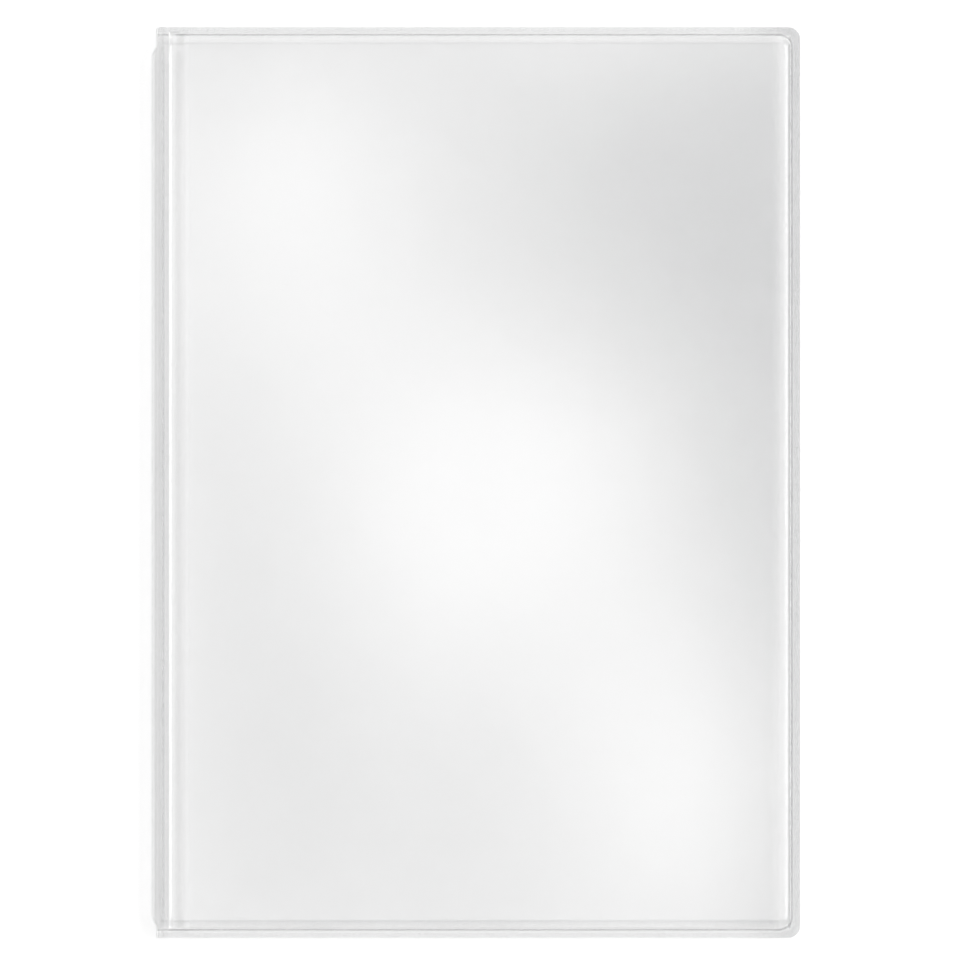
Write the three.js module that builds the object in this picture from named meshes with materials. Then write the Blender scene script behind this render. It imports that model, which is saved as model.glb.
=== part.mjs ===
// Clear film cover for an A5 exercise book, closed and lying on its back.
// One jacket film is folded round the spine, and a pocket film is welded inside each cover.
// Units are millimetres. +X points to the fore edge, +Y to the head and +Z up, out of the front cover.
// The origin is under the middle of the cover, on the surface that the cover lies on.
import * as THREE from "three";

// Overall sizes, closed round a book block
const HEIGHT = 218; // head to tail
const WIDTH = 155; // outermost line of the spine to the fore edge
const THICKNESS = 8; // back face to front face

// Films
const JACKET_FILM = 0.3;
const POCKET_FILM = 0.2;

// Welded border, where the films are one
const BORDER_WIDTH = 1.9; // cut edge to the middle of the weld line
const WELD_WIDTH = 0.5;
const WELD_DEPTH = 0.12;
const CORNER_RADIUS = 3.1;

// Edge of the raised panel: a wall that steepens towards its top, then a crown that rounds over
const PANEL_RISE = 1; // border to panel
const CROWN_RISE = 0.25; // the part of that rise which the crown takes
const WALL_STEEPENING = 1.6; // exponent of the wall's curve
const END_WALL_RUN = 1.85; // at the head and the tail
const END_CROWN_RUN = 0.6;
const FORE_WALL_RUN = 0.9; // at the fore edge
const FORE_CROWN_RUN = 2.9;

// Hinge groove beside the spine, on each cover
const GROOVE_WIDTH = 4.4;
const GROOVE_DEPTH = 0.35;

// Spine
const SPINE_DEPTH = 4; // outermost line to the hinge lines
const SPINE_SHELF = 1.2; // flat from each hinge line to the round
const BORDER_SETBACK = 1.1; // how far the border crosses the spine inside the round
const SWELL_RUN = 5.7; // border to the full round

// Pockets
const POCKET_SETBACK = 4.8; // hinge line to the free edge of the pocket film

// Fineness of the curves
const CORNER_STEPS = 8;
const WALL_STEPS = 5;
const CROWN_STEPS = 4;
const GROOVE_STEPS = 8;
const ROUND_STEPS = 20;
const SWELL_STEPS = 5;

// Places that follow from those sizes
const FORE_X = WIDTH / 2;
const SPINE_X = -WIDTH / 2;
const HINGE_X = SPINE_X + SPINE_DEPTH;
const SHOULDER_X = HINGE_X - SPINE_SHELF;
const MIDDLE_Z = THICKNESS / 2;
const BORDER_TOP = THICKNESS - PANEL_RISE;
const BORDER_FILM = JACKET_FILM + POCKET_FILM;
const BORDER_INNER = BORDER_WIDTH + WELD_WIDTH / 2;

const shares = (count) => Array.from({ length: count + 1 }, (_, k) => k / count);

// The panel's edge from the border inwards: the shares of the wall's and the crown's run, and the height reached.
const EDGE = [
  ...shares(WALL_STEPS).map((s) => ({
    wall: s,
    crown: 0,
    rise: (PANEL_RISE - CROWN_RISE) * s ** WALL_STEEPENING,
  })),
  ...shares(CROWN_STEPS)
    .slice(1)
    .map((s) => ({
      wall: 1,
      crown: s,
      rise: PANEL_RISE - CROWN_RISE * (1 - Math.sin((s * Math.PI) / 2)),
    })),
];

const endInset = ({ wall, crown }) =>
  BORDER_INNER + END_WALL_RUN * wall + END_CROWN_RUN * crown;
const foreInset = ({ wall, crown }) =>
  BORDER_INNER + FORE_WALL_RUN * wall + FORE_CROWN_RUN * crown;

// Depth of the hinge groove at x: a sharp edge on the hinge line, then a slow rise back to the panel.
function grooveDepth(x) {
  const s = THREE.MathUtils.clamp((x - HINGE_X) / GROOVE_WIDTH, 0, 1);
  const steepest = 27 / 4; // makes the deepest point of s (1 - s)^2 equal to 1
  return GROOVE_DEPTH * steepest * s * (1 - s) ** 2;
}

// A three-sided outline inside the cut edge, clockwise from above: along the head from the stations in startXs,
// round the fore edge and back along the tail. Every outline with the same stations has matching points.
function outline(end, fore, startXs) {
  const right = FORE_X - fore - CORNER_RADIUS;
  const top = HEIGHT / 2 - end - CORNER_RADIUS;
  const head = startXs.map((x) => new THREE.Vector2(x, top + CORNER_RADIUS));
  for (const s of shares(CORNER_STEPS)) {
    const angle = (1 - s) * (Math.PI / 2);
    head.push(
      new THREE.Vector2(
        right + CORNER_RADIUS * Math.cos(angle),
        top + CORNER_RADIUS * Math.sin(angle),
      ),
    );
  }
  const tail = head.map((p) => new THREE.Vector2(p.x, -p.y)).reverse();
  return [...head, ...tail];
}

const GROOVE_XS = shares(GROOVE_STEPS).map((s) => HINGE_X + GROOVE_WIDTH * s);

// A closed geometry from corners listed three by three, with its faces turned outwards.
function closedGeometry(corners) {
  const cross = new THREE.Vector3();
  let volume = 0;
  for (let i = 0; i < corners.length; i += 3) {
    volume += cross.crossVectors(corners[i], corners[i + 1]).dot(corners[i + 2]);
  }
  const facing = volume > 0 ? corners : [...corners].reverse();
  const geometry = new THREE.BufferGeometry().setFromPoints(facing);
  geometry.computeVertexNormals();
  return geometry;
}

// A film between an upper and a lower surface. Each surface is a list of outlines from the rim inwards,
// and inside the last outline it spans straight from the head to the tail.
function filmGeometry(upper, lower) {
  const corners = [];
  const quad = (a, b, c, d) => corners.push(a, b, c, a, c, d);
  const last = upper[0].length - 1;
  const inner = upper.length - 1;
  for (let i = 0; i < inner; i++) {
    for (let j = 0; j < last; j++) {
      quad(upper[i][j], upper[i + 1][j], upper[i + 1][j + 1], upper[i][j + 1]);
      quad(lower[i][j], lower[i][j + 1], lower[i + 1][j + 1], lower[i + 1][j]);
    }
    quad(upper[i][0], lower[i][0], lower[i + 1][0], upper[i + 1][0]);
    quad(upper[i][last], upper[i + 1][last], lower[i + 1][last], lower[i][last]);
  }
  for (let j = 0; j < last; j++) {
    quad(upper[0][j], upper[0][j + 1], lower[0][j + 1], lower[0][j]);
  }
  for (let j = 0; j < (last - 1) / 2; j++) {
    const k = last - j;
    const [u, l] = [upper[inner], lower[inner]];
    quad(u[j], u[k], u[k - 1], u[j + 1]);
    quad(l[j], l[j + 1], l[k - 1], l[k]);
  }
  quad(upper[inner][0], lower[inner][0], lower[inner][last], upper[inner][last]);
  return closedGeometry(corners);
}

// A solid through matching closed sections. flat maps a point of a section to the plane of the end caps.
function loftGeometry(sections, flat) {
  const corners = [];
  const count = sections[0].length;
  for (let s = 0; s + 1 < sections.length; s++) {
    const [here, next] = [sections[s], sections[s + 1]];
    for (let i = 0; i < count; i++) {
      const k = (i + 1) % count;
      corners.push(here[i], here[k], next[k], here[i], next[k], next[i]);
    }
  }
  for (const [section, first] of [
    [sections[0], true],
    [sections.at(-1), false],
  ]) {
    const contour = section.map(flat);
    const backwards = THREE.ShapeUtils.isClockWise(contour) !== first;
    for (const face of THREE.ShapeUtils.triangulateShape(contour, [])) {
      const [a, b, c] = backwards ? [...face].reverse() : face;
      corners.push(section[a], section[b], section[c]);
    }
  }
  return closedGeometry(corners);
}

// Front-cover height z, kept for the front cover and mirrored for the back cover.
const levelOn = (cover, z) => (cover === "front" ? z : THICKNESS - z);

// The jacket film of one cover inside the border: a raised panel with its hinge groove.
function panelGeometry(cover) {
  const surface = (below) =>
    EDGE.map((step) =>
      outline(endInset(step), foreInset(step), GROOVE_XS).map(({ x, y }) => {
        const groove = grooveDepth(x) * (step.rise / PANEL_RISE);
        const z = BORDER_TOP + step.rise - groove - below;
        return new THREE.Vector3(x, y, levelOn(cover, z));
      }),
    );
  return filmGeometry(surface(0), surface(JACKET_FILM));
}

// The flat pocket film of one cover, from its free edge to the border.
function pocketGeometry(cover) {
  const top = BORDER_TOP - JACKET_FILM;
  const surface = (below) => [
    outline(BORDER_INNER, BORDER_INNER, [HINGE_X + POCKET_SETBACK]).map(
      ({ x, y }) => new THREE.Vector3(x, y, levelOn(cover, top - below)),
    ),
  ];
  return filmGeometry(surface(0), surface(POCKET_FILM));
}

// The welded border round one cover, both films in one, with the weld line pressed in along its inner edge.
function borderGeometry(cover) {
  const bottom = BORDER_TOP - BORDER_FILM;
  const profile = [
    [0, BORDER_TOP],
    [BORDER_WIDTH - WELD_WIDTH / 2, BORDER_TOP],
    [BORDER_WIDTH, BORDER_TOP - WELD_DEPTH],
    [BORDER_INNER, BORDER_TOP],
    [BORDER_INNER, bottom],
    [0, bottom],
  ];
  const lines = profile.map(([inset, z]) =>
    outline(inset, inset, [HINGE_X]).map(
      ({ x, y }) => new THREE.Vector3(x, y, levelOn(cover, z)),
    ),
  );
  const sections = lines[0].map((_, j) => lines.map((line) => line[j]));
  return loftGeometry(sections, (p) => new THREE.Vector2(p.y, p.z));
}

// One line of the spine's section, from the front hinge line round to the back one, inset from the outer surface.
// The round is the circle through both shoulders and the outermost point.
function spineLine(halfHeight, outermostX, inset) {
  const bulge = SHOULDER_X - outermostX;
  const outerRadius = (halfHeight ** 2 + bulge ** 2) / (2 * bulge);
  const centreX = outermostX + outerRadius;
  const radius = outerRadius - inset;
  const half = halfHeight - inset;
  const reach = Math.asin(half / radius);
  const round = shares(ROUND_STEPS).map((s) => {
    const angle = reach * (1 - 2 * s);
    return new THREE.Vector2(
      centreX - radius * Math.cos(angle),
      MIDDLE_Z + radius * Math.sin(angle),
    );
  });
  return [
    new THREE.Vector2(HINGE_X, MIDDLE_Z + half),
    ...round,
    new THREE.Vector2(HINGE_X, MIDDLE_Z - half),
  ];
}

// A section of the spine across y, with its outer surface sunk by sunk and its inner surface film deep.
function spineSection(y, rise, outermostX, sunk, film) {
  const halfHeight = MIDDLE_Z - PANEL_RISE + rise;
  const outer = spineLine(halfHeight, outermostX, sunk);
  const inner = spineLine(halfHeight, outermostX, film).reverse();
  return [...outer, ...inner].map((p) => new THREE.Vector3(p.x, y, p.y));
}

const BORDER_OUTERMOST_X = SPINE_X + BORDER_SETBACK;
const flatAcrossY = (p) => new THREE.Vector2(p.x, p.z);

// The jacket film of the spine. Its ends match the panels' edges, and it swells to the full round further in.
function spineGeometry() {
  const edge = EDGE.map((step) => ({ inset: endInset(step), rise: step.rise }));
  const panelInset = edge.at(-1).inset;
  const swellEnd = Math.max(BORDER_INNER + SWELL_RUN, panelInset);
  const swell = shares(SWELL_STEPS)
    .slice(1)
    .map((s) => ({
      inset: panelInset + (swellEnd - panelInset) * s,
      rise: PANEL_RISE,
    }));
  const end = [...edge, ...swell].map(({ inset, rise }) => {
    const swollen = THREE.MathUtils.smoothstep(inset, BORDER_INNER, swellEnd);
    return { y: HEIGHT / 2 - inset, rise, x: BORDER_OUTERMOST_X - BORDER_SETBACK * swollen };
  });
  const stations = [...end, ...end.map((e) => ({ ...e, y: -e.y })).reverse()];
  const sections = stations.map((e) => spineSection(e.y, e.rise, e.x, 0, JACKET_FILM));
  return loftGeometry(sections, flatAcrossY);
}

// The border where it crosses the spine, at the head (towards = 1) or the tail (towards = -1).
function spineBorderGeometry(towards) {
  const rows = [
    [0, 0],
    [BORDER_WIDTH - WELD_WIDTH / 2, 0],
    [BORDER_WIDTH, WELD_DEPTH],
    [BORDER_INNER, 0],
  ];
  const sections = rows.map(([inset, sunk]) =>
    spineSection(towards * (HEIGHT / 2 - inset), 0, BORDER_OUTERMOST_X, sunk, BORDER_FILM),
  );
  return loftGeometry(sections, flatAcrossY);
}

function film(name, geometry, color, opacity) {
  const material = new THREE.MeshStandardMaterial({
    color,
    roughness: 0.16,
    metalness: 0,
    transparent: true,
    opacity,
  });
  const mesh = new THREE.Mesh(geometry, material);
  mesh.name = name;
  return mesh;
}

const JACKET_COLOUR = 0xeef0f0;
const POCKET_COLOUR = 0xf2f4f4;
const BORDER_COLOUR = 0xe4e6e6;
const FILM_OPACITY = 0.3;
const BORDER_OPACITY = 0.5;

const cover = new THREE.Group();
for (const side of ["front", "back"]) {
  cover.add(
    film(`${side}_panel`, panelGeometry(side), JACKET_COLOUR, FILM_OPACITY),
    film(`${side}_pocket`, pocketGeometry(side), POCKET_COLOUR, FILM_OPACITY),
    film(`${side}_border`, borderGeometry(side), BORDER_COLOUR, BORDER_OPACITY),
  );
}
cover.add(
  film("spine_film", spineGeometry(), JACKET_COLOUR, FILM_OPACITY),
  film("spine_border_head", spineBorderGeometry(1), BORDER_COLOUR, BORDER_OPACITY),
  film("spine_border_tail", spineBorderGeometry(-1), BORDER_COLOUR, BORDER_OPACITY),
);

export default cover;
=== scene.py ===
"""Clear film cover for an A5 exercise book, lying closed on a white table in soft studio light."""

import math
from collections import namedtuple

import bpy
import numpy as np
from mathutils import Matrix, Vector


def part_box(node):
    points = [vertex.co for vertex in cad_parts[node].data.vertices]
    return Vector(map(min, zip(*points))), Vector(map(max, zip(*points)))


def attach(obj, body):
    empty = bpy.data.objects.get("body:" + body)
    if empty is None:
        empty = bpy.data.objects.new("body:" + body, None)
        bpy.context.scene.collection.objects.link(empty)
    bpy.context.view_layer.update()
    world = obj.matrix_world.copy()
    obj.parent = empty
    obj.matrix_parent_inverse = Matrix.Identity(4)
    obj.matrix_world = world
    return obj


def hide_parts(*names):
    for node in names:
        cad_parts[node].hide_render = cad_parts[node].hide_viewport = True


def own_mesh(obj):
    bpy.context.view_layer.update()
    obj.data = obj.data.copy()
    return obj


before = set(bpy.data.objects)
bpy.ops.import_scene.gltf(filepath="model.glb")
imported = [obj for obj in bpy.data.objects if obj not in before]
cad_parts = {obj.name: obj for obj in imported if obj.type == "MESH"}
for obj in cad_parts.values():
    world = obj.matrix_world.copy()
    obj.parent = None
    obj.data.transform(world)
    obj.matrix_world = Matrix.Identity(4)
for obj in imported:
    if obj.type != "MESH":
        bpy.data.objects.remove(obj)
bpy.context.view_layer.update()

# Lengths are millimetres up to the meshes, which are in metres.
MM = 0.001


def corners(node):
    """The node's lowest and highest corners in millimetres."""
    low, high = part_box(node)
    return np.array(low) / MM, np.array(high) / MM


# Sizes read from the frame
BACK_Z, FRONT_Z = corners("back_panel")[0][2], corners("front_panel")[1][2]
THICKNESS = FRONT_Z - BACK_Z
HINGE_X = corners("front_panel")[0][0]
SPINE_X = corners("spine_film")[0][0]
SPINE_END_X = corners("spine_border_head")[0][0]
FORE_X = corners("front_border")[1][0]
HEAD_Y = corners("front_border")[1][1]
BORDER_Z = corners("front_border")[1][2]
BORDER_FILM = BORDER_Z - corners("front_border")[0][2]
POCKET_X = corners("front_pocket")[0][0]
POCKET_FILM = corners("front_pocket")[1][2] - corners("front_pocket")[0][2]
BORDER_INNER = HEAD_Y - corners("front_panel")[1][1]
JACKET_FILM = BORDER_FILM - POCKET_FILM
PANEL_RISE = FRONT_Z - BORDER_Z

# Sizes of the pressed edge. Pairs are for the head, under 1, and the tail, under -1.
WELD_WIDTH = 0.5
WELD_DEPTH = 0.12
CORNER_RADIUS = 3.1
CROWN_RISE = 0.25
WALL_STEEPENING = 1.6
END_WALL_RUN, END_CROWN_RUN = 1.85, 0.6
FORE_WALL_RUN, FORE_CROWN_RUN = 0.6, 3.2
FORE_CROWN_RISE = 0.43
GROOVE_WIDTH = 4.4
GROOVE_DEPTH = 0.42
SPINE_SHELF = 1.2
SWELL_START = {1: 4.2, -1: 2.4}  # how far from the ends the spine begins to swell
SWELL_RUN = 3.0
SPINE_CORNER = {1: 0.7, -1: 0.15}  # rounding of the border's corners at the spine
# How far the slack round of the spine, the border across it and the cut edge at the fore edge stand out
SPINE_OVERHANG, BORDER_OVERHANG, FORE_OVERHANG = 0.25, 0.12, 0.15
OVERHANG_WIDTH = 0.6  # how far in from the cut edge that of the fore edge reaches
RIM_ROUNDING, RIM_WIDTH = 0.04, 0.2  # how far the film drops at its cut edge, and over what width
WALL_SHARPENING = 0.7  # how much of the corners' radius is gone at the top of the wall
SEAM_GAP = 0.02  # between films that touch

# Stations across the border, inwards from the cut edge and outwards from the weld line
RIM_STATIONS, BEAD_HIGHLIGHT_STATIONS = (0, 0.06, 0.2, 0.6, 1.0), (0.45, 0.3, 0.15, 0)
WELD_STATIONS, WALL_STATIONS, CROWN_STATIONS = 9, 13, 17
ROUND_STATIONS, SHELF_STATIONS, GROOVE_STATIONS = 73, 9, 23
POCKET_STATIONS = 18  # of the pressed edge's stations, those from the cut edge to just past the weld line
LONGEST_STEP = 2.4  # between stations on a panel

# Density is how thick the haze of a film is against that of a loose one. Several of its levels below paint
# light and shade onto the film, as said at each.
BORDER_DENSITY = {1: 0.5, -1: 0.36}
FORE_DENSITY = {1: 1.0, -1: 0.72}
FORE_BLEND = (16, 1)  # how far from the fore edge the border's density starts and ends turning into that
BEAD_HIGHLIGHT_DENSITY = -0.18  # painted highlight: the film clearer on the bead beside the weld line
BEAD_HIGHLIGHT_MARK = (0.12, 0.25)  # how far outside the weld line that highlight's middle is, and its width
# Density on the slope at the ends: at the weld line, at 0.3 of the way up and at the crown. It paints light
# and shade there, on top of the lamps' real reflection in the slope: lighter at the head, and at the tail
# darker towards the crown. The fine painted shade line at the crown comes on top.
WALL_PAINTED_SHADING = {1: (0.45, 0.8, 0.82), -1: (0.4, 1.05, 1.25)}
CROWN_SHADE_LINE, CROWN_SHADE_LINE_WIDTH = {1: 0.2, -1: 0.25}, 0.12
SHOULDER_HIGHLIGHT_DENSITY = 0.05  # over the fore edge's shoulder, as a share: a painted highlight
# How much denser a jacket film is that has no pocket film beside it: inside the border, and on it
ALONE_DENSITY, BORDER_ALONE_DENSITY = 1.9, 2.3
# Strength of the weld line, and how much stronger it is on a jacket film alone
WELD_STRENGTH, ALONE_WELD = {1: 1.0, -1: 1.15}, {1: 1.35, -1: 1.7}
SPINE_WELD = 0.85
# Strength of the painted shade beside the hinge, as shares of a weld line's: along the groove, along the
# shaded side of the crease, and how much of the groove's shade reaches the slope at each end
GROOVE_SHADE, CREASE_SHADE = 0.62, 0.3
GROOVE_SHADE_AT_END = {1: 0.35, -1: 1.0}
GROOVE_SHADE_GROWS = (3.4, 7.5)  # how far from the ends, until it is full
# Where they lie, as bell curves: how far their middle is from the hinge, and their width
GROOVE_MARK, CREASE_MARK = (2.4, 0.95), (0.58, 0.2)
# The bright crease, a painted highlight that takes haze away over the lamp's real reflection in the groove:
# its strength at the hinge and how far on it has faded to 1 / e, and what the sharp line at its start adds,
# all along and near the ends
CREASE_GLOW, CREASE_FADE = 0.4, 1.8
CREASE_LINE, CREASE_LINE_AT_END = 0.33, 0.45
# Where these two lines stop, from full to nothing: how far from the hinge
CREASE_LINE_STOPS, CREASE_LINE_STOPS_AT_END = (0.25, 0.5), (0.5, 0.9)
# Where the groove and the bright crease stop short of the ends
GROOVE_END = {1: 0.9, -1: BORDER_INNER - 0.1}
CREASE_END = {1: 1.2, -1: BORDER_INNER}
# Density round the spine, from its outermost line to the hinge: millimetres over SPINE_X, and density. These
# levels paint the light and shade of the round, clearest at its outermost line. The fine painted shade line
# at its shoulder and the painted shade beside that line come on top.
SPINE_PAINTED_SHADING = (
    (-0.25, 0.08), (0, 0.1), (0.4, 0.2), (0.64, 0.68), (0.85, 0.76),
    (1.1, 0.53), (1.36, 0.68), (1.6, 0.79), (2.2, 0.86), (3.05, 0.88),
)
SHOULDER_SHADE_LINE, SHOULDER_SHADE = 0.8, 0.45
SHOULDER_MARK = (2.72, 0.14)  # middle of that line over SPINE_X, and its width
SHADE_RISE, SHADE_FALL = (1.95, 2.3), (2.6, 3.05)  # where, over SPINE_X, that shade rises and falls
SHADE_START, SHADE_FULL = {1: 5.0, -1: 2.5}, {1: 8.5, -1: 5.0}  # and how far in from the ends it sets in
# Density at the spine's ends, on the round and on the shelf: of the border at the head and the tail, then
# of the slope
SPINE_END_DENSITY = {1: (0.5, 1.0), -1: (0.28, 0.85)}
SPINE_SLOPE_DENSITY = {1: (0.55, 0.85), -1: (0.75, 0.85)}
SPINE_SLOPE_BLEND = (0.5, 6)  # how far inside the border the slope's levels start and stop fading out
SPINE_RIM_SHADE, SPINE_RIM_WIDTH = 0.5, 0.35  # more at the border's outermost line: painted shade along that edge

# How far the slack film waves in from its flat place, and how far from its edges the waves begin
JACKET_WAVE = 0.3
POCKET_WAVE = 0.2
WAVE_START, WAVE_FULL = 1.0, 26.0
WAVE_FROM_HINGE = 2.0  # beside the hinge they begin so much further in

# Colour of the haze: of the film, of the jacket's weld line, which also tints the painted shade beside the
# hinge, and of the pocket's
FILM_GREY, WELD_GREY, PRESSED_GREY = (0.36, 0.364, 0.37), (0.25, 0.25, 0.25), (0.3, 0.3, 0.3)
FILM_HAZE = 0.2  # how much one loose film hides of what is behind it
FILM_ROUGHNESS = 0.21
# How far the slow cloudiness changes the haze and the roughness, and how much of the haze the painted
# crease highlight takes away
CLOUDING, UNEVENNESS, CREASE_HIGHLIGHT_CLEARING = 0.12, 0.06, 0.85
DIMMED = 0.5  # light that a film lets through at its most aslant
GRAIN_STRENGTH, GRAIN_HEIGHT = 0.03, 0.0001  # the height in metres

TABLE_HALF_WIDTH = 6.0  # metres
TABLE_GLOW = 0.33
UNDER_COVER = 0.15  # how far the table lies under the cover

# The photograph's framing: its width at the front cover, and the point that it looks at
VIEW_WIDTH = 229.6
VIEW_X, VIEW_Y = 1.0, 0.58
LENS = 1000.0
SENSOR = 36.0

scene = bpy.context.scene


def smooth(x, low, high):
    """Smooth step: 0 below low, 1 above high, and 3 s^2 - 2 s^3 between."""
    s = np.clip((x - low) / (high - low), 0, 1)
    return s * s * (3 - 2 * s)


def by_end(y, pair):
    """The head's value of a pair where y is positive, and the tail's elsewhere."""
    return np.where(y > 0, pair[1], pair[-1])


def bell(x, middle, width):
    """Bell curve: exp(-((x - middle) / width)^2 / 2)."""
    return np.exp(-(((x - middle) / width) ** 2) / 2)


def growing(start, stop, first, most):
    """Stations from start to stop whose steps grow by a fifth from first up to most."""
    steps = [first]
    while sum(steps) < abs(stop - start):
        steps.append(min(steps[-1] * 1.2, most))
    places = np.concatenate([[0], np.cumsum(steps)])
    return start + (stop - start) * places / places[-1]


def joined(*runs):
    """Runs of stations end to end, with each shared station once."""
    return np.concatenate([runs[0], *[run[1:] for run in runs[1:]]])


def fore_run(rise):
    """Distance from the weld line to where the fore edge's slope has risen so far: the inverse of a wall
    that climbs as s^1.6 and a crown that levels off with the power 2.5."""
    wall_top = PANEL_RISE - FORE_CROWN_RISE
    wall = FORE_WALL_RUN * (rise / wall_top).clip(0, 1) ** (1 / WALL_STEEPENING)
    crown = FORE_CROWN_RUN * (1 - ((PANEL_RISE - rise) / FORE_CROWN_RISE).clip(0, 1) ** (1 / 2.5))
    return wall + crown


# Stations across the pressed edge, from the cut edge inwards: inset from the ends, inset from the fore edge,
# height over the border, corner radius, closeness to the weld line and closeness to the bead highlight beside
# it, a painted highlight line
Edge = namedtuple("Edge", "end fore rise radius weld bead")


def pressed_edge():
    """The stations across the pressed edge.

    The weld line is a dip of (1 + cos) / 2. The highlight beside it has no shape of its own: it is a painted
    highlight, a bell curve just outside the weld line. At the ends the wall climbs as s^1.6, and the crown
    rounds over as a quarter sine. The fore edge has the same heights at insets of its own, and its rim stands
    out a little. The corners keep their radius across the border and sharpen to nothing over the wall and the
    crown."""
    weld_out, weld_in = BORDER_INNER - WELD_WIDTH, BORDER_INNER
    beside = weld_out - np.array(BEAD_HIGHLIGHT_STATIONS)
    flat = joined(np.array([*RIM_STATIONS, beside[0]]), beside)
    weld = np.linspace(weld_out, weld_in, WELD_STATIONS)
    wall = np.linspace(0, 1, WALL_STATIONS)
    crown = 1 - np.linspace(1, 0, CROWN_STATIONS) ** 1.5
    dip = (1 + np.cos(2 * np.pi * (weld - (weld_out + weld_in) / 2) / WELD_WIDTH)) / 2
    rounding = -RIM_ROUNDING * (1 - flat / RIM_WIDTH).clip(0) ** 2
    wall_rise = (PANEL_RISE - CROWN_RISE) * wall**WALL_STEEPENING
    crown_rise = PANEL_RISE - CROWN_RISE * (1 - np.sin(crown * np.pi / 2))
    end = joined(flat, weld, weld_in + END_WALL_RUN * wall, weld_in + END_WALL_RUN + END_CROWN_RUN * crown)
    fore_flat = flat - FORE_OVERHANG * (1 - flat / OVERHANG_WIDTH).clip(0)
    fore = joined(fore_flat, weld, weld_in + fore_run(wall_rise), weld_in + fore_run(crown_rise))
    rise = joined(rounding, -WELD_DEPTH * dip, wall_rise, crown_rise)
    above_wall = WALL_SHARPENING + (1 - WALL_SHARPENING) * crown
    sharpening = joined(flat * 0, weld * 0, WALL_SHARPENING * wall, above_wall)
    closeness = joined(flat * 0, dip, wall * 0, crown * 0)
    bead_middle, bead_width = BEAD_HIGHLIGHT_MARK
    bead = joined(bell(flat, weld_out - bead_middle, bead_width), weld * 0, wall * 0, crown * 0)
    return Edge(end, fore, rise, CORNER_RADIUS * (1 - sharpening), closeness, bead)


def bordered_grid(start_run, edge):
    """A grid of points over one cover: rows from head to tail, columns from the fore edge to the spine side.

    A grid point lies on the inset outline of the outermost of its two stations. Near a corner of that
    outline it slides onto the rounded corner: its distance along the outline, up to the radius, becomes an
    angle from 45 to 0 degrees off the side that it is on. Returns x, y and the index of the outline, each
    rows by columns."""
    end, fore = edge.end, edge.fore
    last = len(end) - 1
    head_rows = joined(HEAD_Y - end, growing(HEAD_Y - end[-1], 0, 0.5, LONGEST_STEP))
    y = joined(head_rows, -head_rows[::-1])
    inner = start_run[start_run < FORE_X - fore[-1]]
    x = joined(FORE_X - fore, inner[::-1])
    row = np.minimum(np.arange(len(y)), len(y) - 1 - np.arange(len(y))).clip(0, last)[:, None]
    column = np.arange(len(x)).clip(0, last)[None, :]
    ring = np.minimum(row, column)
    on_fore = column <= row
    head_inset = HEAD_Y - np.abs(y)[:, None]
    fore_inset = FORE_X - x[None, :]
    along = np.where(on_fore, head_inset - end[ring], fore_inset - fore[ring])
    r = edge.radius[ring]
    turned = (along < r) & (ring < last)
    share = 1 - along / np.maximum(r, 1e-9)
    angle = np.where(on_fore, share * np.pi / 4, np.pi / 2 - share * np.pi / 4)
    sign = np.sign(y)[:, None]
    grid_x = np.where(turned, FORE_X - fore[ring] - r + r * np.cos(angle), x[None, :] + 0 * along)
    grid_y = np.where(turned, sign * (HEAD_Y - end[ring] - r + r * np.sin(angle)), y[:, None] + 0 * along)
    return grid_x, grid_y, ring


def waves(x, y, turn):
    """Slack in the film, from 0 to 1: three long crossing sine waves, set off from each other by turn."""
    slanted = np.sin((0.9 * x - 0.62 * y) / 21 + turn)
    crossing = np.sin((0.5 * x + 0.8 * y) / 27 + 2.1 * turn)
    along = np.sin(y / 33 - x / 60 + 0.7 * turn)
    return 0.5 + 0.5 * (0.45 * slanted + 0.3 * crossing + 0.25 * along)


def groove(x):
    """Depth of the hinge groove: s (1 - s)^2 across its width, scaled so that the deepest point is 1."""
    s = np.clip((x - HINGE_X) / GROOVE_WIDTH, 0, 1)
    return 27 / 4 * s * (1 - s) ** 2


def closed_film(name, upper, lower, **attributes):
    """One closed film between two matching grids of points, with a strip of faces round the rim.

    upper and lower are (rows, columns, 3). Faces are turned outwards by the sign of the volume, which is
    the sum over faces of a corner times the cross product of the face's diagonals."""
    rows, columns = upper.shape[:2]
    index = np.arange(rows * columns).reshape(rows, columns)
    a, b, c, d = index[:-1, :-1], index[1:, :-1], index[1:, 1:], index[:-1, 1:]
    top = np.stack([a, b, c, d], -1).reshape(-1, 4)
    under = top[:, ::-1] + rows * columns
    loop = np.concatenate([index[0, :-1], index[:-1, -1], index[-1, :0:-1], index[:0:-1, 0]])
    after = np.roll(loop, -1)
    rim = np.stack([loop, after, after + rows * columns, loop + rows * columns], -1)
    faces = np.concatenate([top, under, rim])
    points = np.concatenate([upper.reshape(-1, 3), lower.reshape(-1, 3)])
    p = points[faces]
    volume = np.einsum("ij,ij->", p[:, 0], np.cross(p[:, 2] - p[:, 0], p[:, 3] - p[:, 1]))
    if volume < 0:
        faces = faces[:, ::-1]
    mesh = bpy.data.meshes.new(name)
    mesh.from_pydata((points * MM).tolist(), [], faces.tolist())
    mesh.polygons.foreach_set("use_smooth", np.ones(len(mesh.polygons), bool))
    mesh.set_sharp_from_angle(angle=math.radians(40))
    for label, values in attributes.items():
        both = np.concatenate([values.ravel(), values.ravel()]).astype(np.float32)
        mesh.attributes.new(label, "FLOAT", "POINT").data.foreach_set("value", both)
    mesh.update()
    piece = bpy.data.objects.new(name, mesh)
    scene.collection.objects.link(piece)
    return piece


def on_side(points, side):
    """Front-cover points as they are, or mirrored through the middle of the thickness for the back cover."""
    if side == "front":
        return points
    return points * [1, 1, -1] + [0, 0, BACK_Z + FRONT_Z]


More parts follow.
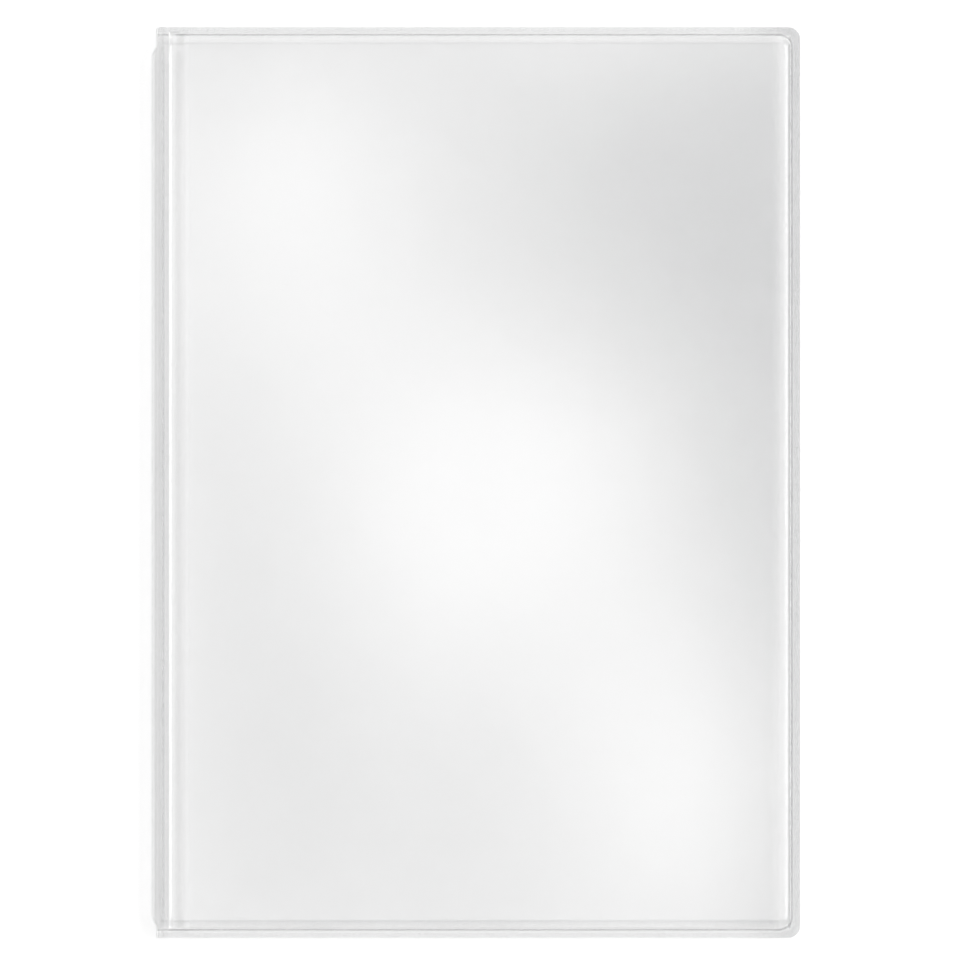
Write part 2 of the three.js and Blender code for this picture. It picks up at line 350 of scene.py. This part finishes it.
def off_border(inset):
    """0 on the border and 1 inside it, with a smooth step over the inner edge of the weld line."""
    return smooth(inset, BORDER_INNER - 0.2, BORDER_INNER + 0.3)


def looseness(x, y):
    """Where a film is loose: 1 inside the weld line, 0 on the border."""
    off_ends = smooth(HEAD_Y - np.abs(y), BORDER_INNER, BORDER_INNER + 0.5)
    off_fore = smooth(FORE_X - x, BORDER_INNER, BORDER_INNER + 0.5)
    return off_ends * off_fore


def density_and_painted_light(x, y):
    """Density of a film inside the border and on it: far less over the shoulder of the fore edge, a painted
    highlight there; a level that changes along the slope at the head and the tail, painted light and shade,
    with a painted shade line at its crown; and levels of its own on the border, which turn into the fore
    edge's over the last 15 mm."""
    from_end = HEAD_Y - np.abs(y)
    at_ends = 1 - off_border(from_end)
    at_fore = 1 - off_border(FORE_X - x)
    near_fore = smooth(x, FORE_X - FORE_BLEND[0], FORE_X - FORE_BLEND[1])
    fore = np.interp(y, [-HEAD_Y, HEAD_Y], [FORE_DENSITY[-1], FORE_DENSITY[1]])
    border = by_end(y, BORDER_DENSITY) * (1 - near_fore) + fore * near_fore
    # Painted highlight over the fore edge's shoulder, on top of the lamp's real reflection in its crown
    shoulder = FORE_X - BORDER_INNER - FORE_WALL_RUN
    shoulder_highlight = smooth(x, shoulder - FORE_CROWN_RUN, shoulder - 0.4)
    shoulder_highlight = shoulder_highlight * (1 - smooth(x, shoulder, shoulder + 0.2))
    # Painted light and shade on the slope at the head and the tail, with a painted shade line at its crown
    crown = BORDER_INNER + END_WALL_RUN
    up = ((from_end - BORDER_INNER) / END_WALL_RUN).clip(0, 1)
    slope = by_end(y, {end: np.interp(up, [0, 0.3, 1], levels) for end, levels in WALL_PAINTED_SHADING.items()})
    wall = 1 + (slope - 1) * (1 - smooth(from_end, crown, crown + 0.2))
    wall += by_end(y, CROWN_SHADE_LINE) * bell(from_end, crown, CROWN_SHADE_LINE_WIDTH)
    inside = wall * (1 + (SHOULDER_HIGHLIGHT_DENSITY - 1) * shoulder_highlight)
    return inside + (border - inside) * np.maximum(at_ends, at_fore)


def hinge_light_and_shade(x, y):
    """Painted light and shade beside the hinge: a bright crease, a painted highlight, an exponential with a
    sharp line at its start, and two soft painted shades like weak weld lines, each a bell curve: one on the
    shaded side of the crease and one along the groove. Returns the crease highlight, and the two shades
    together."""
    past = x - HINGE_X
    from_rim = HEAD_Y - np.abs(y)
    crown = BORDER_INNER + END_WALL_RUN
    near_end = 1 - smooth(from_rim, crown - 0.3, crown + 1.2)
    sharp = CREASE_LINE * (1 - smooth(past, *CREASE_LINE_STOPS))
    sharp += CREASE_LINE_AT_END * near_end * (1 - smooth(past, *CREASE_LINE_STOPS_AT_END))
    crease_end = by_end(y, CREASE_END)
    crease = CREASE_GLOW * np.exp(-past / CREASE_FADE) + sharp
    crease *= smooth(from_rim, crease_end, crease_end + 0.5)
    at_end = by_end(y, GROOVE_SHADE_AT_END) * smooth(from_rim, BORDER_INNER, BORDER_INNER + 0.5)
    groove_shade = bell(past, *GROOVE_MARK) * (at_end + (1 - at_end) * smooth(from_rim, *GROOVE_SHADE_GROWS))
    crease_shade = bell(past, *CREASE_MARK) * smooth(from_rim, BORDER_INNER, BORDER_INNER + 0.3)
    return crease, GROOVE_SHADE * groove_shade + CREASE_SHADE * crease_shade


def cover_jacket(side, turn):
    """The jacket film of one cover: border, weld line, wall, crown and panel in one sheet.

    Height is the pressed edge's, less the groove and the waves, which fade in from the edge inwards. From
    the hinge to the pocket's free edge the film is alone, so it is denser and its weld line stronger."""
    edge = pressed_edge()
    near_hinge = np.linspace(HINGE_X + SEAM_GAP, HINGE_X + GROOVE_WIDTH, GROOVE_STATIONS)
    at_pocket = np.array([near_hinge[-1], POCKET_X - 0.03, POCKET_X + 0.03])
    panel = growing(at_pocket[-1], FORE_X - edge.fore[-1], 0.4, LONGEST_STEP)
    start_run = joined(near_hinge, at_pocket, panel)
    x, y, ring = bordered_grid(start_run, edge)
    from_rim = HEAD_Y - np.abs(y)
    from_edges = np.minimum(from_rim - edge.end[-1], FORE_X - edge.fore[-1] - x)
    from_edges = np.minimum(from_edges, x - HINGE_X - WAVE_FROM_HINGE)
    slack = smooth(from_edges, WAVE_START, WAVE_FULL) * waves(x, y, turn)
    groove_end = by_end(y, GROOVE_END)
    pressed = groove(x) * smooth(from_rim, groove_end, groove_end + 0.8)
    z = BORDER_Z + edge.rise[ring] - GROOVE_DEPTH * pressed - JACKET_WAVE * slack
    upper = on_side(np.stack([x, y, z], -1), side)
    lower = on_side(np.stack([x, y, z - JACKET_FILM + SEAM_GAP], -1), side)
    alone = np.where(from_rim < BORDER_INNER, BORDER_ALONE_DENSITY, ALONE_DENSITY)
    # Light and shade painted into the film's density, with the painted highlight beside the weld line
    dense_and_painted_light = density_and_painted_light(x, y) * np.where(x < POCKET_X, alone, 1.0) + BEAD_HIGHLIGHT_DENSITY * edge.bead[ring]
    # At the head the weld line fades out beside the hinge, where the painted crease highlight runs over it
    at_hinge = by_end(y, {1: smooth(x - HINGE_X, 0.3, 2.2), -1: 1})
    at_hinge = at_hinge * np.where(x < POCKET_X, by_end(y, ALONE_WELD), 1)
    line = edge.weld[ring] * at_hinge * by_end(y, WELD_STRENGTH)
    crease, hinge_shade = hinge_light_and_shade(x, y)
    # The jacket's weld attribute also carries the painted shade beside the hinge
    weld_and_hinge_shade = np.maximum(line, hinge_shade)
    marks = {"weld": weld_and_hinge_shade, "crease": crease, "dense_and_painted_light": dense_and_painted_light, "loose": looseness(x, y)}
    return closed_film(f"{side}_jacket", upper, lower, **marks)


def cover_pocket(side, turn):
    """The pocket film of one cover, from its free edge to the cut edge.

    It is flat, with slack that fades out at the border."""
    edge = Edge(*(run[:POCKET_STATIONS] for run in pressed_edge()))
    edge.radius[-1] = 0
    near_edge = growing(POCKET_X, POCKET_X + 8, 0.3, 1.5)
    start_run = joined(near_edge, growing(near_edge[-1], FORE_X - edge.fore[-1], 1.5, LONGEST_STEP))
    x, y, ring = bordered_grid(start_run, edge)
    from_edges = np.minimum(HEAD_Y - np.abs(y) - BORDER_INNER, FORE_X - BORDER_INNER - x)
    slack = smooth(from_edges, WAVE_START, WAVE_FULL) * waves(x, y, turn)
    z = BORDER_Z - JACKET_FILM - SEAM_GAP + POCKET_WAVE * slack
    upper = on_side(np.stack([x, y, z], -1), side)
    lower = on_side(np.stack([x, y, z - POCKET_FILM + SEAM_GAP], -1), side)
    # Light and shade painted into the film's density, with the painted highlight beside the weld line
    dense_and_painted_light = density_and_painted_light(x, y) + BEAD_HIGHLIGHT_DENSITY * edge.bead[ring]
    line = edge.weld[ring] * by_end(y, WELD_STRENGTH)
    marks = {"weld": line, "crease": 0 * x, "dense_and_painted_light": dense_and_painted_light, "loose": looseness(x, y)}
    return closed_film(f"{side}_pocket_film", upper, lower, **marks)


def spine_line(half, outermost, inset):
    """One line round the spine for each row, inset from the outer surface: along the shelf to the shoulder,
    round the circle through both shoulders and the outermost point, and back along the other shelf."""
    middle = (BACK_Z + FRONT_Z) / 2
    shoulder = HINGE_X - SPINE_SHELF
    bulge = shoulder - outermost
    outer_radius = (half**2 + bulge**2) / (2 * bulge)
    radius = outer_radius - inset
    reach = np.arcsin((half - inset) / radius)
    angle = reach * np.linspace(1, -1, ROUND_STATIONS)[None, :]
    round_x = outermost + outer_radius - radius * np.cos(angle)
    round_z = middle + radius * np.sin(angle)
    flat = HINGE_X - SPINE_SHELF * np.linspace(0, 1, SHELF_STATIONS)[None, :-1] + 0 * half
    front_z = middle + half - inset + 0 * flat
    back_z = middle - half + inset + 0 * flat
    x = np.concatenate([flat, round_x, flat[:, ::-1]], 1)
    z = np.concatenate([front_z, round_z, back_z], 1)
    return x, z


def spine_density_and_painted_light(x, y, outermost, inset, bead_highlights):
    """Density of the spine's film, which paints its light and shade: its table across the round, with the
    shoulder's painted shade line and painted shade on top, going over to levels of its own on the slope and
    on the border, with painted shade along the border's outermost line."""
    over = x - SPINE_X
    places, levels = zip(*SPINE_PAINTED_SHADING)
    crown = BORDER_INNER + END_WALL_RUN
    # Painted shade: the fine line at the shoulder and the shade beside it
    line = bell(over, *SHOULDER_MARK) * smooth(inset, crown - 0.2, crown + 3)
    shade = smooth(over, *SHADE_RISE) * (1 - smooth(over, *SHADE_FALL))
    shade = shade * smooth(inset, by_end(y, SHADE_START), by_end(y, SHADE_FULL))
    on_shelf = smooth(x, HINGE_X - SPINE_SHELF - 0.8, HINGE_X - SPINE_SHELF)

    def across(pair):
        """The first value on the round and the second on the shelf, for each end."""
        on_round, shelf = (by_end(y, {end: values[k] for end, values in pair.items()}) for k in (0, 1))
        return on_round + (shelf - on_round) * on_shelf

    on_slope = across(SPINE_SLOPE_DENSITY)
    off_slope = on_slope + (1 - on_slope) * smooth(inset - BORDER_INNER, *SPINE_SLOPE_BLEND)
    inside = np.interp(over, places, levels) * off_slope + SHOULDER_SHADE_LINE * line + SHOULDER_SHADE * shade
    # Painted shade along the border's outermost line
    rim = SPINE_RIM_SHADE * (1 - smooth(x - outermost, 0, SPINE_RIM_WIDTH))
    border = across(SPINE_END_DENSITY) + rim + BEAD_HIGHLIGHT_DENSITY * bead_highlights
    return border * (1 - off_border(inset)) + inside * off_border(inset)


def spine_jacket():
    """The jacket film round the spine, with the border and its weld line at both ends.

    Its half height follows the pressed edge, and its outermost line swells by a smooth step from the
    border's, whose corners are rounded by quarter circles, to the full round."""
    edge = pressed_edge()
    rows = joined(edge.end, growing(edge.end[-1], HEAD_Y, 0.4, LONGEST_STEP))

    def both_ends(run, inner):
        """A run over the pressed edge, filled up with the inner value to the middle, and its mirror image."""
        half_run = np.concatenate([run, np.full(len(rows) - len(run), inner)])
        return joined(half_run, half_run[::-1])[:, None]

    inset = joined(rows, rows[::-1])[:, None]
    level = both_ends(edge.rise, PANEL_RISE)
    weld, bead_highlights = both_ends(edge.weld, 0.0), both_ends(edge.bead, 0.0)
    y = np.where(np.arange(len(inset))[:, None] < len(rows), HEAD_Y - inset, inset - HEAD_Y)
    half = (THICKNESS / 2 - PANEL_RISE) + np.maximum(level, 0)
    start, corner = by_end(y, SWELL_START), by_end(y, SPINE_CORNER)
    cut = corner - np.sqrt(corner**2 - (corner - inset).clip(0) ** 2)
    border_x, round_x = SPINE_END_X - BORDER_OVERHANG, SPINE_X - SPINE_OVERHANG
    outermost = border_x + cut + (round_x - border_x) * smooth(inset, start, start + SWELL_RUN)
    sunk = np.maximum(-level, 0)
    on_border = 1 - smooth(inset, BORDER_INNER - 0.2, BORDER_INNER + 0.2)
    film = JACKET_FILM + (BORDER_FILM - JACKET_FILM) * on_border
    outer_x, outer_z = spine_line(half, outermost, sunk)
    inner_x, inner_z = spine_line(half, outermost, film)
    grid_y = y + 0 * outer_x
    upper = np.stack([outer_x, grid_y, outer_z], -1)
    lower = np.stack([inner_x, grid_y, inner_z], -1)
    # Light and shade painted into the spine film's density
    dense_and_painted_light = spine_density_and_painted_light(outer_x, y, outermost, inset, bead_highlights)
    none = 0 * outer_x
    marks = {"weld": SPINE_WELD * weld + none, "crease": none, "dense_and_painted_light": dense_and_painted_light, "loose": none}
    return closed_film("spine_jacket", upper, lower, **marks)


def nodes_of(tree):
    """A maker of nodes in one tree: new(kind, inputs) sets inputs by name or number, and links outputs."""

    def new(kind, inputs=None, **settings):
        node = tree.nodes.new(kind)
        for key, value in settings.items():
            setattr(node, key, value)
        for key, value in (inputs or {}).items():
            if isinstance(value, bpy.types.NodeSocket):
                tree.links.new(value, node.inputs[key])
            else:
                node.inputs[key].default_value = value
        return node

    return new


def calculator(new):
    """A maker of Math nodes: calc("ADD", a, b) gives the output."""

    def calc(operation, a, b=0.0, clamp=False):
        return new("ShaderNodeMath", {0: a, 1: b}, operation=operation, use_clamp=clamp).outputs[0]

    return calc


def group_of(name, inputs, outputs):
    """A node group with the given inputs and outputs and nothing between, and its two ends."""
    group = bpy.data.node_groups.new(name, "ShaderNodeTree")
    for label, kind, value in inputs:
        socket = group.interface.new_socket(label, in_out="INPUT", socket_type=kind)
        if value is not None:
            socket.default_value = value
    for label, kind in outputs:
        group.interface.new_socket(label, in_out="OUTPUT", socket_type=kind)
    return group, group.nodes.new("NodeGroupInput"), group.nodes.new("NodeGroupOutput")


# The painted reflection's zones are bent by a slow noise, given by its scale and its reach in metres. Their
# sum levels off softly at a highest value.
PAINTED_REFLECTION_BEND_SCALE, PAINTED_REFLECTION_BEND = 14.0, 0.012
PAINTED_REFLECTION_MOST, PAINTED_REFLECTION_SOFTNESS = 0.985, 0.1
# Zones of painted reflection, where the haze is taken away so that the table shows through brightest, in
# place of the lamps' soft reflection in the film: middle, half widths, tilt in degrees and weight
PAINTED_REFLECTION_ZONES = (
    ((18, 10), (52, 36), 42, 0.92),
    ((-48, 77), (22, 46), 3, 0.43),
    ((62, -64), (32, 53), -4, 1.06),
    ((-29, -160), (49, 88), -4, 0.79),
    ((-115, 28), (29, 165), 2, 1.3),
    ((96, -61), (37, 300), 25, -0.6),
    ((30, 134), (74, 39), 52, 1.18),
)


def painted_reflection_group():
    """Painted reflection, from 0 to 1: a sum of soft oval zones, exp(-r^2 / 2) each, bent by a slow noise and
    levelled off just under 1. It takes the film's haze away in place of the lamps' soft reflection."""
    inputs = [("Vector", "NodeSocketVector", None), ("Strength", "NodeSocketFloat", 1.0)]
    group, start, end = group_of("film_painted_reflection", inputs, [("Painted reflection", "NodeSocketFloat")])
    new = nodes_of(group)
    calc = calculator(new)
    place = start.outputs["Vector"]
    wander = new("ShaderNodeTexNoise", {"Vector": place, "Scale": PAINTED_REFLECTION_BEND_SCALE, "Detail": 0.0})
    wandering = {0: wander.outputs["Color"], 1: (0.5, 0.5, 0.5)}
    centred = new("ShaderNodeVectorMath", wandering, operation="SUBTRACT")
    pushed = new("ShaderNodeVectorMath", {0: centred.outputs[0], "Scale": PAINTED_REFLECTION_BEND}, operation="SCALE")
    bent = new("ShaderNodeVectorMath", {0: place, 1: pushed.outputs[0]}, operation="ADD")
    flat = new("ShaderNodeVectorMath", {0: bent.outputs[0], 1: (1, 1, 0)}, operation="MULTIPLY")
    total = 0.0
    for (x, y), (wide, high), tilt, weight in PAINTED_REFLECTION_ZONES:
        zone = new(
            "ShaderNodeMapping",
            {
                "Vector": flat.outputs[0],
                "Location": (x * MM, y * MM, 0),
                "Rotation": (0, 0, math.radians(tilt)),
                "Scale": (wide * MM, high * MM, 1),
            },
            vector_type="TEXTURE",
        )
        reach = new("ShaderNodeVectorMath", {0: zone.outputs[0], 1: zone.outputs[0]}, operation="DOT_PRODUCT")
        share = calc("EXPONENT", calc("MULTIPLY", reach.outputs["Value"], -0.5))
        total = calc("ADD", calc("MULTIPLY", share, weight), total)
    levelled = new("ShaderNodeMath", {0: total, 1: PAINTED_REFLECTION_MOST, 2: PAINTED_REFLECTION_SOFTNESS}, operation="SMOOTH_MIN")
    painted_reflection = calc("MULTIPLY", levelled.outputs[0], start.outputs["Strength"], clamp=True)
    group.links.new(painted_reflection, end.inputs["Painted reflection"])
    return group


def surface_group():
    """Unevenness of the film: Mottle, a slow cloudiness from 0 to 1, and Grain, the height of a fine peel."""
    outputs = [("Mottle", "NodeSocketFloat"), ("Grain", "NodeSocketFloat")]
    group, start, end = group_of("film_surface", [("Vector", "NodeSocketVector", None)], outputs)
    new = nodes_of(group)
    place = start.outputs["Vector"]
    clouds = new("ShaderNodeTexNoise", {"Vector": place, "Scale": 30.0, "Detail": 3.0, "Roughness": 0.5})
    mottle = new("ShaderNodeMapRange", {"Value": clouds.outputs["Fac"], "From Min": 0.3, "From Max": 0.7})
    peel = new("ShaderNodeTexNoise", {"Vector": place, "Scale": 260.0, "Detail": 2.0})
    group.links.new(mottle.outputs["Result"], end.inputs["Mottle"])
    group.links.new(peel.outputs["Fac"], end.inputs["Grain"])
    return group


PAINTED_REFLECTION = painted_reflection_group()
SURFACE = surface_group()


def film_material(name, weld_colour, weld_haze, ior, clearness):
    """Clear film: a faint haze over what is behind it, denser on the weld line and on slopes, with light and
    shade painted into it through its attributes, and clearer in the zones of painted reflection and along the
    painted crease highlight, under a gloss that grows towards the edges of sight. One pass through the film
    is counted once, on its near face. Light on its way from a lamp meets a clear film that dims it more the
    more it comes aslant, from clearness straight through to half."""
    material = bpy.data.materials.new(name)
    material.use_nodes = True
    tree = material.node_tree
    tree.nodes.clear()
    new = nodes_of(tree)
    calc = calculator(new)
    place = new("ShaderNodeTexCoord").outputs["Object"]
    weld = new("ShaderNodeAttribute", attribute_name="weld").outputs["Fac"]
    crease = new("ShaderNodeAttribute", attribute_name="crease").outputs["Fac"]
    dense_and_painted_light = new("ShaderNodeAttribute", attribute_name="dense_and_painted_light").outputs["Fac"]
    slanting = new("ShaderNodeLayerWeight", {"Blend": 0.5}).outputs["Facing"]
    loose = new("ShaderNodeAttribute", attribute_name="loose").outputs["Fac"]
    zones = new("ShaderNodeGroup", node_tree=PAINTED_REFLECTION)
    tree.links.new(loose, zones.inputs["Strength"])
    tree.links.new(place, zones.inputs["Vector"])
    surface = new("ShaderNodeGroup", node_tree=SURFACE)
    tree.links.new(place, surface.inputs["Vector"])
    mottle, grain = surface.outputs["Mottle"], surface.outputs["Grain"]
    clouded = calc("ADD", calc("MULTIPLY", mottle, CLOUDING), 1 - CLOUDING / 2)
    # Painted reflection: where the film is loose, its zones take the haze away in place of the lamps' soft
    # reflection
    off_painted_reflection = calc("SUBTRACT", 1.0, zones.outputs["Painted reflection"])
    plain_haze = calc("MULTIPLY", calc("MULTIPLY", clouded, FILM_HAZE), calc("MULTIPLY", off_painted_reflection, dense_and_painted_light))
    deeper = calc("MULTIPLY", plain_haze, calc("ADD", slanting, 1.0))
    # On the jacket the weld attribute also carries the painted shade beside the hinge, tinted with the weld's
    # colour
    welded = calc("MULTIPLY", weld, weld_haze)
    # The painted crease highlight takes haze away along the crease
    off_crease_highlight = calc("SUBTRACT", 1.0, calc("MULTIPLY", crease, CREASE_HIGHLIGHT_CLEARING))
    alpha = calc("MULTIPLY", calc("ADD", deeper, welded), off_crease_highlight, clamp=True)
    tint = new("ShaderNodeMix", {"Factor": weld}, data_type="RGBA")
    tint.inputs["A"].default_value = (*FILM_GREY, 1)
    tint.inputs["B"].default_value = (*weld_colour, 1)
    uneven = calc("ADD", calc("MULTIPLY", mottle, UNEVENNESS), FILM_ROUGHNESS)
    bump = new("ShaderNodeBump", {"Height": grain, "Strength": GRAIN_STRENGTH, "Distance": GRAIN_HEIGHT})
    finish = {"Roughness": uneven, "Normal": bump.outputs[0]}
    body = new("ShaderNodeBsdfPrincipled", {"Base Color": tint.outputs["Result"], "Alpha": alpha, **finish})
    body.inputs["Specular IOR Level"].default_value = 0.0
    gloss = new("ShaderNodeBsdfGlossy", finish)
    mirror = new("ShaderNodeFresnel", {"IOR": ior})
    film = new("ShaderNodeMixShader", {0: mirror.outputs[0], 1: body.outputs[0], 2: gloss.outputs[0]})
    beyond = new("ShaderNodeBsdfTransparent")
    far = new("ShaderNodeNewGeometry").outputs["Backfacing"]
    sight = new("ShaderNodeMixShader", {0: far, 1: film.outputs[0], 2: beyond.outputs[0]})
    dimming = new("ShaderNodeMix", {"Factor": calc("POWER", slanting, 2.0)}, data_type="RGBA")
    dimming.inputs["A"].default_value = (clearness, clearness, clearness, 1)
    dimming.inputs["B"].default_value = (DIMMED, DIMMED, DIMMED, 1)
    shade = new("ShaderNodeBsdfTransparent", {"Color": dimming.outputs["Result"]})
    cast = new("ShaderNodeLightPath").outputs["Is Shadow Ray"]
    both = new("ShaderNodeMixShader", {0: cast, 1: sight.outputs[0], 2: shade.outputs[0]})
    new("ShaderNodeOutputMaterial", {"Surface": both.outputs[0]})
    return material


def lit_for_sight(new, calc, shown):
    """Strength of a plain white glow that only sight, mirrors and glass meet, and no other light."""
    path = new("ShaderNodeLightPath")
    seen = calc("MAXIMUM", path.outputs["Is Camera Ray"], path.outputs["Is Glossy Ray"])
    seen = calc("MAXIMUM", seen, path.outputs["Is Transmission Ray"])
    return calc("MULTIPLY", seen, shown)


def table_material():
    """White table: matt white under the lamps, with a little more white for sight, so that it shows pure
    white and keeps the soft shadow."""
    material = bpy.data.materials.new("white_table")
    material.use_nodes = True
    tree = material.node_tree
    tree.nodes.clear()
    new = nodes_of(tree)
    place = new("ShaderNodeTexCoord").outputs["Object"]
    fleck = new("ShaderNodeTexNoise", {"Vector": place, "Scale": 180.0, "Detail": 2.0})
    white = new("ShaderNodeMix", {"Factor": fleck.outputs["Fac"]}, data_type="RGBA")
    white.inputs["A"].default_value = (0.66, 0.66, 0.66, 1)
    white.inputs["B"].default_value = (0.68, 0.68, 0.68, 1)
    body = new("ShaderNodeBsdfPrincipled", {"Base Color": white.outputs["Result"], "Roughness": 0.7})
    body.inputs["Specular IOR Level"].default_value = 0.0
    body.inputs["Emission Color"].default_value = (1, 1, 1, 1)
    tree.links.new(lit_for_sight(new, calculator(new), TABLE_GLOW), body.inputs["Emission Strength"])
    new("ShaderNodeOutputMaterial", {"Surface": body.outputs[0]})
    return material


def make_table():
    """A wide flat table just under the cover."""
    mesh = bpy.data.meshes.new("table")
    wide, low = TABLE_HALF_WIDTH, (BACK_Z - UNDER_COVER) * MM
    rim = [(-wide, -wide, low), (wide, -wide, low), (wide, wide, low), (-wide, wide, low)]
    mesh.from_pydata(rim, [], [(0, 1, 2, 3)])
    table = bpy.data.objects.new("table", mesh)
    scene.collection.objects.link(table)
    mesh.materials.append(table_material())


def make_world(low, high):
    """White light from all round, low at the horizon and growing with the 6th power of height to high
    overhead, and pure white for sight."""
    world = bpy.data.worlds.new("studio")
    scene.world = world
    world.use_nodes = True
    tree = world.node_tree
    tree.nodes.clear()
    new = nodes_of(tree)
    calc = calculator(new)
    direction = new("ShaderNodeSeparateXYZ", {0: new("ShaderNodeTexCoord").outputs["Generated"]})
    height = calc("POWER", calc("MAXIMUM", direction.outputs["Z"], 0.0), 6.0)
    level = calc("ADD", calc("MULTIPLY", height, high - low), low)
    path = new("ShaderNodeLightPath")
    strength = calc("MAXIMUM", path.outputs["Is Camera Ray"], level)
    light = new("ShaderNodeBackground", {"Color": (1, 1, 1, 1), "Strength": strength})
    new("ShaderNodeOutputWorld", {"Surface": light.outputs[0]})


def softbox(name, direction, distance, size, radiance):
    """A rectangular lamp that looks at the cover from direction, with its brightness given as radiance."""
    lamp = bpy.data.lights.new(name, "AREA")
    lamp.shape = "RECTANGLE"
    lamp.size, lamp.size_y = size
    lamp.energy = radiance * math.pi * size[0] * size[1]
    holder = bpy.data.objects.new(name, lamp)
    scene.collection.objects.link(holder)
    towards = Vector(direction).normalized()
    holder.location = towards * distance
    holder.rotation_euler = towards.to_track_quat("Z", "Y").to_euler()
    return holder


def make_camera():
    """A long lens straight over the front cover, far enough to frame VIEW_WIDTH there."""
    camera = bpy.data.cameras.new("camera")
    camera.lens, camera.sensor_width = LENS, SENSOR
    camera.clip_end = 100.0
    holder = bpy.data.objects.new("camera", camera)
    scene.collection.objects.link(holder)
    height = FRONT_Z + VIEW_WIDTH * LENS / SENSOR
    holder.location = (VIEW_X * MM, VIEW_Y * MM, height * MM)
    scene.camera = holder


make_camera()
scene.view_settings.view_transform = "Standard"
scene.cycles.transparent_max_bounces = 48
scene.cycles.max_bounces = 4
scene.cycles.diffuse_bounces = 2
scene.cycles.glossy_bounces = 3

jacket_film = film_material("jacket_film", WELD_GREY, weld_haze=0.19, ior=1.75, clearness=0.997)
pocket_film = film_material("pocket_film", PRESSED_GREY, weld_haze=0.16, ior=1.75, clearness=0.997)
spine_film = film_material("spine_film", WELD_GREY, weld_haze=0.19, ior=1.5, clearness=0.9)

for side, turn in (("front", 0.4), ("back", 2.6)):
    jacket = cover_jacket(side, turn)
    jacket.data.materials.append(jacket_film)
    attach(jacket, f"{side}_cover")
    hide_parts(f"{side}_panel", f"{side}_border")
    pocket = cover_pocket(side, turn + 1.3)
    pocket.data.materials.append(pocket_film)
    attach(pocket, f"{side}_cover")
    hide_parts(f"{side}_pocket")

spine = spine_jacket()
spine.data.materials.append(spine_film)
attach(spine, "spine")
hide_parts("spine_film", "spine_border_head", "spine_border_tail")
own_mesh(spine)

make_table()
make_world(low=0.25, high=1.15)
softbox("key", direction=(0.62, 0.1, 0.78), distance=6.0, size=(5.6, 2.8), radiance=5.6)
softbox("head_light", direction=(0.0, 0.64, 0.77), distance=6.0, size=(3.4, 5.6), radiance=1.9)
